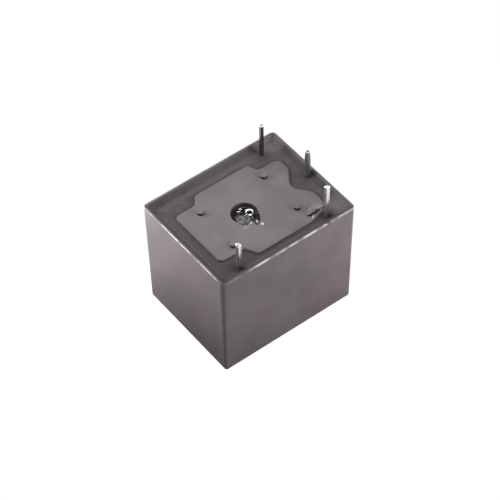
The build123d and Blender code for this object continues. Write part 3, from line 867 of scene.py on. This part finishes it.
def make_torn_line():
    """The ragged near-black ridge where the skin of resin has torn, from the island's middle to its edge; its
    black is painted shade for the side of the torn lip.
    """
    start, end = Vector((4.65, -4.95)), Vector((6.72, -4.88))
    rings, steps, around = [], 48, 12
    for step in range(steps + 1):
        share = step / steps
        ends = min(1, 5 * share, 5 * (1 - share))
        x, y = start.lerp(end, share)
        y += 0.20 * noise.noise(Vector((x * 2.2, 3, 1))) + 0.10 * noise.noise(Vector((x * 7, 3, 1)))
        width = 0.30 * (0.25 + 0.75 * ends) * (1 + 0.9 * noise.noise(Vector((x * 4, 9, 1))))
        ring = []
        for turn in range(around):
            angle = 2 * pi * turn / around
            z = island_z + (0.16 * ends * sin(angle) + 0.03) * mm
            ring.append((x * mm, (y + width / 2 * cos(angle)) * mm, z))
        rings.append(ring)
    lofted("torn_line", [rings], "wet_resin", body_of_case)


def make_crumbs():
    """Crumbs of scratched resin by the torn line, and the scratched edges of what ran out of the well."""
    crumbs = [
        blob(5.89, -5.28, island_z, 0.62, 0.30, 0.10, 0.5, 21),
        blob(6.35, -5.20, island_z, 0.34, 0.18, 0.08, 0.9, 22),
        blob(-0.97, -1.72, island_z, 1.20, 0.10, 0.05, -0.54, 23),
        blob(-1.05, -2.02, island_z, 1.10, 0.08, 0.05, -0.38, 24),
        blob(1.62, -0.62, island_z, 0.22, 0.14, 0.10, 0.4, 25),
        blob(1.52, -1.17, island_z, 0.26, 0.12, 0.10, 0.9, 26),
    ]
    lofted("resin_crumbs", crumbs, "scratched_resin", body_of_case)


make_smear()
make_torn_line()
make_crumbs()


# Tinned pins

round_steps = 5
coat = 0.02 * mm
coat_step = 0.12 * mm
coat_inset = 0.004 * mm
coat_waves = 0.006 * mm


def section(x, y, z, half_x, half_y, corner):
    """A rounded rectangle round a vertical centre line."""
    ring = []
    for quarter, (sign_x, sign_y) in enumerate(((1, 1), (-1, 1), (-1, -1), (1, -1))):
        for step in range(round_steps + 1):
            angle = pi / 2 * (quarter + step / round_steps)
            ring.append(
                (
                    x + sign_x * (half_x - corner) + corner * cos(angle),
                    y + sign_y * (half_y - corner) + corner * sin(angle),
                    z,
                )
            )
    return ring


def pin_rings(x, y, low, high, half_x, half_y, corner, tip, seed, taper=None):
    """Rings up a pin with a slightly uneven coat of tin; tip lists drops and what is left of the width.

    A taper is a length down from the tip and what it leaves of the width across Y there.
    """
    rings = []
    shaft_top = high - tip[0][0]
    steps = max(int((shaft_top - low) / coat_step), 2)
    for step in range(steps + 1):
        z = low + (shaft_top - low) * step / steps
        uneven_x = coat_waves * noise.noise(Vector((z / (0.7 * mm), seed, 0)))
        uneven_y = coat_waves * noise.noise(Vector((z / (0.6 * mm), seed, 9)))
        narrow = 1
        if taper:
            length, left = taper
            narrow = 1 - (1 - left) * min(max(1 - (high - z) / length, 0), 1)
        size_x = half_x - coat_inset + uneven_x
        size_y = (half_y - coat_inset + uneven_y) * narrow
        rings.append(section(x, y, z, size_x, size_y, corner))
    if taper:
        half_y *= taper[1]
    for drop, left in tip[1:]:
        size_x, size_y = half_x * left, half_y * left
        rounding = min(corner * max(left, 0.4), size_x * 0.98, size_y * 0.98)
        rings.append(section(x, y, high - drop, size_x, size_y, rounding))
    return rings


def bevelled(bevel, half):
    """A tip with a flat end and bevelled edges."""
    left = 1 - bevel / half
    soft = 0.08 * bevel / half
    return [(bevel * 1.15, 1), (bevel, 1 - soft), (0.02 * mm, left + soft), (0, left)]


def domed(height):
    """A tip drawn to a dome by the tin."""
    steps = 9
    turns = [pi / 2 * step / steps for step in range(steps + 1)]
    return [(height * (1 - sin(turn)), max(cos(turn), 0.05)) for turn in turns]


def pin_box(node):
    """The box of the part of a node that stands above the rim."""
    above = [vertex.co for vertex in nodes[node].data.vertices if vertex.co.z > case_height + 0.1 * mm]
    lows = Vector([min(corner[axis] for corner in above) for axis in range(3)])
    highs = Vector([max(corner[axis] for corner in above) for axis in range(3)])
    return lows, highs


def tin_coil_pin(node, half, bevel, seed, slot):
    """A coil pin in place of its node."""
    low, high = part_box(node)
    middle = (low + high) / 2
    tip = bevelled(bevel, half)
    rings = pin_rings(middle.x, middle.y, low.z, high.z, half, half, 0.05 * mm, tip, seed)
    lofted("tinned_" + node, [rings], slot, body_of_case, (node,))


def tin_strip(name, node, coats, corner, tip, seed, slot, rise, taper=None):
    """The tin on the end of a strip: coats are its thickness along X and Y, rise its height past the tip."""
    low, high = pin_box(node)
    middle, half = (low + high) / 2, (high - low) / 2
    size_x, size_y = half.x + coats[0], half.y + coats[1]
    start = ring_level - 0.3 * mm
    rings = pin_rings(middle.x, middle.y, start, high.z + rise, size_x, size_y, corner, tip, seed, taper)
    lofted(name, [rings], slot, body_of_case)


# Coil pin A and the common pin wear the darker tins as painted shade.
tin_coil_pin("coil_pin_a", 0.215 * mm, 0.09 * mm, 1, "shaded_tin")
tin_coil_pin("coil_pin_b", 0.25 * mm, 0.12 * mm, 2, "tinned_pin")
tin_strip(
    "tin_on_common_pin", "terminal_com", (coat, coat), 0.07 * mm,
    bevelled(0.10 * mm, 0.25 * mm), 3, "deep_shaded_tin", coat, (1.2 * mm, 0.7),
)
tin_strip(
    "tin_on_open_pin", "terminal_no", (3.5 * coat, 1.5 * coat), 0.26 * mm,
    domed(0.28 * mm), 4, "tinned_pin", 0.16 * mm,
)


# Leaf spring, cut finely across its bend

bend_start = (0.00776, 0, 0.0078)
bend_end = (0.0074, 0, 0.0031)
bend_cuts = 24


def make_leaf():
    """The leaf's own shape, cut finely across the bend."""
    mesh = nodes["contact_spring"].data.copy()
    mesh.name = "leaf_spring"
    bm = bmesh.new()
    bm.from_mesh(mesh)
    for step in range(bend_cuts):
        cut = Vector(bend_start).lerp(Vector(bend_end), step / (bend_cuts - 1))
        geometry = bm.verts[:] + bm.edges[:] + bm.faces[:]
        bmesh.ops.bisect_plane(bm, geom=geometry, plane_co=cut, plane_no=(0, 0, 1))
    bmesh.ops.remove_doubles(bm, verts=bm.verts, dist=1e-8)
    bm.to_mesh(mesh)
    bm.free()
    leaf = placed("leaf_spring", mesh)
    dress(leaf, "spring_bronze")
    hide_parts("contact_spring")
    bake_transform(leaf)


make_leaf()


# Camera, at the photograph's viewing angle

camera_azimuth, camera_elevation, camera_roll = radians(-36.87), radians(49.42), radians(-1.08)
camera_distance = 246.0 * mm
camera_shift = (-0.033 * mm, -0.157 * mm)
camera_lens = 150.8

camera_back = Vector(
    (
        sin(camera_azimuth) * cos(camera_elevation),
        -cos(camera_azimuth) * cos(camera_elevation),
        sin(camera_elevation),
    )
)


def make_camera():
    """The camera, with the photograph's angle, distance and roll."""
    level = Vector((cos(camera_azimuth), sin(camera_azimuth), 0))
    upright = camera_back.cross(level)
    right = level * cos(camera_roll) + upright * sin(camera_roll)
    up = upright * cos(camera_roll) - level * sin(camera_roll)
    data = bpy.data.cameras.new("camera")
    data.lens = camera_lens
    data.sensor_width = 36
    data.clip_start = 0.01
    data.clip_end = 10
    camera = placed("camera", data)
    centre = Vector((0, 0, case_height / 2))
    place = centre + camera_back * camera_distance - right * camera_shift[0] - up * camera_shift[1]
    turn = Matrix((right, up, camera_back)).transposed().to_4x4()
    camera.matrix_world = Matrix.Translation(place) @ turn
    bpy.context.scene.camera = camera


make_camera()


# Light, floor and surroundings

contact_shadow = (1 * mm, 10 * mm)
paper_dull, paper_bright = 0.26, 0.80
paper_glow, glow_share = 1.085, 0.85
floor_gap = 0.02 * mm


def straight_rays(shading):
    """1 for rays that show the background: straight to the camera, or by way of metal or glass."""
    rays = shading.add("ShaderNodeLightPath").outputs
    shown = shading.math("MAXIMUM", rays["Is Camera Ray"], rays["Is Glossy Ray"])
    return shading.math("MAXIMUM", shown, rays["Is Transmission Ray"])


def floor_shown(shading):
    """How much white paper a ray sees: all of it straight, and in a reflection less beside the object, as a
    painted contact shadow.
    """
    gap_x = shading.math("SUBTRACT", shading.math("ABSOLUTE", shading.axis(0)), cover_high.x)
    gap_y = shading.math("SUBTRACT", shading.math("ABSOLUTE", shading.axis(1)), cover_high.y)
    open_paper = shading.spread(shading.math("MAXIMUM", gap_x, gap_y), *contact_shadow)
    reflected = shading.times(open_paper, straight_rays(shading))
    camera_rays = shading.add("ShaderNodeLightPath").outputs["Is Camera Ray"]
    return shading.math("MAXIMUM", reflected, camera_rays)


def make_world():
    """A light tent: bright round the horizon, dimmer above, dark where the camera stands."""
    world = bpy.data.worlds.new("studio")
    bpy.context.scene.world = world
    world.use_nodes = True
    world.node_tree.nodes.clear()
    sky = Shading(world.node_tree)
    direction = sky.coordinates["Generated"]
    upward = sky.part(direction, 2)
    towards = sky.add("ShaderNodeVectorMath", operation="DOT_PRODUCT")
    sky.feed(towards.inputs[0], direction)
    sky.feed(towards.inputs[1], camera_back)
    level = sky.spread(upward, 0.5, 0.72, 0.44, 0.20)
    lens = sky.spread(towards.outputs["Value"], cos(radians(34)), cos(radians(24)), 1.0, 0.12)
    horizon = sky.spread(upward, 0.3, 0.5, 1.0, 0.0)
    brighter = sky.times(horizon, straight_rays(sky), 0.56)
    background = sky.add("ShaderNodeBackground")
    sky.feed(background.inputs["Color"], (1, 1, 1))
    sky.feed(background.inputs["Strength"], sky.math("ADD", sky.times(level, lens), brighter))
    sky.feed(sky.add("ShaderNodeOutputWorld").inputs[0], background.outputs[0])


def floor_paper():
    """White paper that keeps the object's shadow, and is duller where it only lights the object."""
    material = bpy.data.materials.new("floor_paper")
    material.use_nodes = True
    material.node_tree.nodes.clear()
    paper = Shading(material.node_tree)
    shown = floor_shown(paper)
    diffuse = paper.add("ShaderNodeBsdfDiffuse")
    tone = paper.math("MULTIPLY_ADD", shown, paper_bright - paper_dull, paper_dull)
    paper.feed(diffuse.inputs["Color"], tone)
    glow = paper.add("ShaderNodeEmission")
    paper.feed(glow.inputs["Strength"], paper_glow)
    both = paper.add("ShaderNodeMixShader")
    paper.feed(both.inputs[0], paper.times(shown, glow_share))
    paper.feed(both.inputs[1], diffuse.outputs[0])
    paper.feed(both.inputs[2], glow.outputs[0])
    paper.feed(paper.add("ShaderNodeOutputMaterial").inputs[0], both.outputs[0])
    return material


def make_floor():
    """The floor under the object."""
    bm = bmesh.new()
    bmesh.ops.create_grid(bm, x_segments=8, y_segments=8, size=1.5)
    mesh = bpy.data.meshes.new("floor")
    bm.to_mesh(mesh)
    bm.free()
    mesh.materials.append(floor_paper())
    floor = placed("floor", mesh)
    floor.location.z = -floor_gap


def make_lamp(name, direction, distance, size, power, aim=(0, 0, 8), spread=180):
    """A soft square lamp, placed from the middle of the case and aimed at a place in millimetres."""
    data = bpy.data.lights.new(name, "AREA")
    data.size = size
    data.energy = power
    data.spread = radians(spread)
    lamp = placed(name, data)
    centre = Vector((0, 0, case_height / 2))
    lamp.location = centre + Vector(direction).normalized() * distance
    way = (lamp.location - Vector(aim) * mm).normalized()
    lamp.rotation_mode = "QUATERNION"
    lamp.rotation_quaternion = way.to_track_quat("Z", "Y")
    lamp.visible_camera = False


make_world()
make_floor()

# Name, direction, distance, size and power, and for two of them the aim and the spread
make_lamp("left_lamp", (-0.58, 0.62, 0.53), 0.036, 0.014, 0.0066)
make_lamp("corner_lamp", (-0.63, 0.76, 0.17), 0.042, 0.014, 0.0040, (-9.6, 7.7, 20), 60)
make_lamp("low_lamp", (-0.62, 0.78, -0.08), 0.021, 0.005, 0.0010, (-9.6, 6, 4), 120)
make_lamp("right_lamp", (0.77, -0.60, 0.20), 0.042, 0.022, 0.0086)
make_lamp("front_lamp", (0.50, -0.75, 0.35), 0.25, 0.12, 0.38)
make_lamp("top_lamp", (0.05, 0.10, 1.0), 0.25, 0.16, 0.25)

bpy.context.scene.view_settings.view_transform = "Standard"
